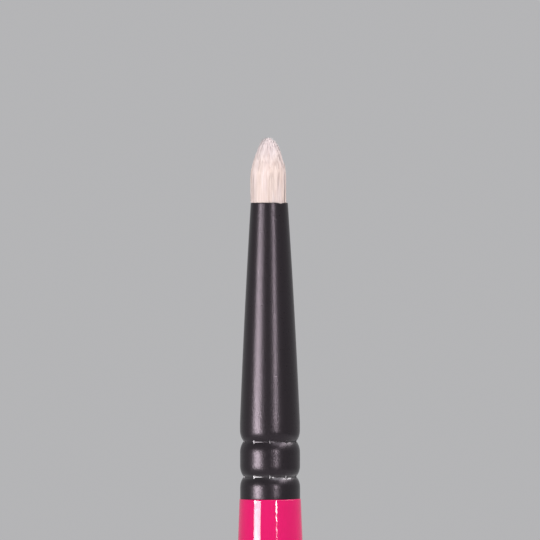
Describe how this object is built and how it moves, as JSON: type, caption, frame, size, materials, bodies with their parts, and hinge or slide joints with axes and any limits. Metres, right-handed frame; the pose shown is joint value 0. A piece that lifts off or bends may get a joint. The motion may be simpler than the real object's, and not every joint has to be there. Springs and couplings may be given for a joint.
{
  "type": "eyeshadow brush",
  "caption": "Round eyeshadow brush: a domed cream hair tuft in a satin black, twice-crimped tapered ferrule on a glossy pink turned handle.",
  "frame": {"origin": "on the brush's axis, at the end of the handle's tail, which is its lowest point", "axes": "+Z along the brush's axis from the tail towards the tip of the hair; the brush is round, so +X and +Y are any two directions square to it, +Y away from the picture's camera"},
  "size_m": [0.0082, 0.0082, 0.1749],
  "materials": {
    "hair": "satin",
    "thread": "matte",
    "resin": "gloss",
    "ferrule_metal": "satin",
    "adhesive": "satin",
    "handle_lacquer": "gloss"
  },
  "bodies": {
    "root": {"hair_tuft": "hair", "binding_thread": "thread", "root_resin": "resin", "ferrule": "ferrule_metal", "tenon_adhesive": "adhesive", "handle": "handle_lacquer"}
  },
  "joints": []
}
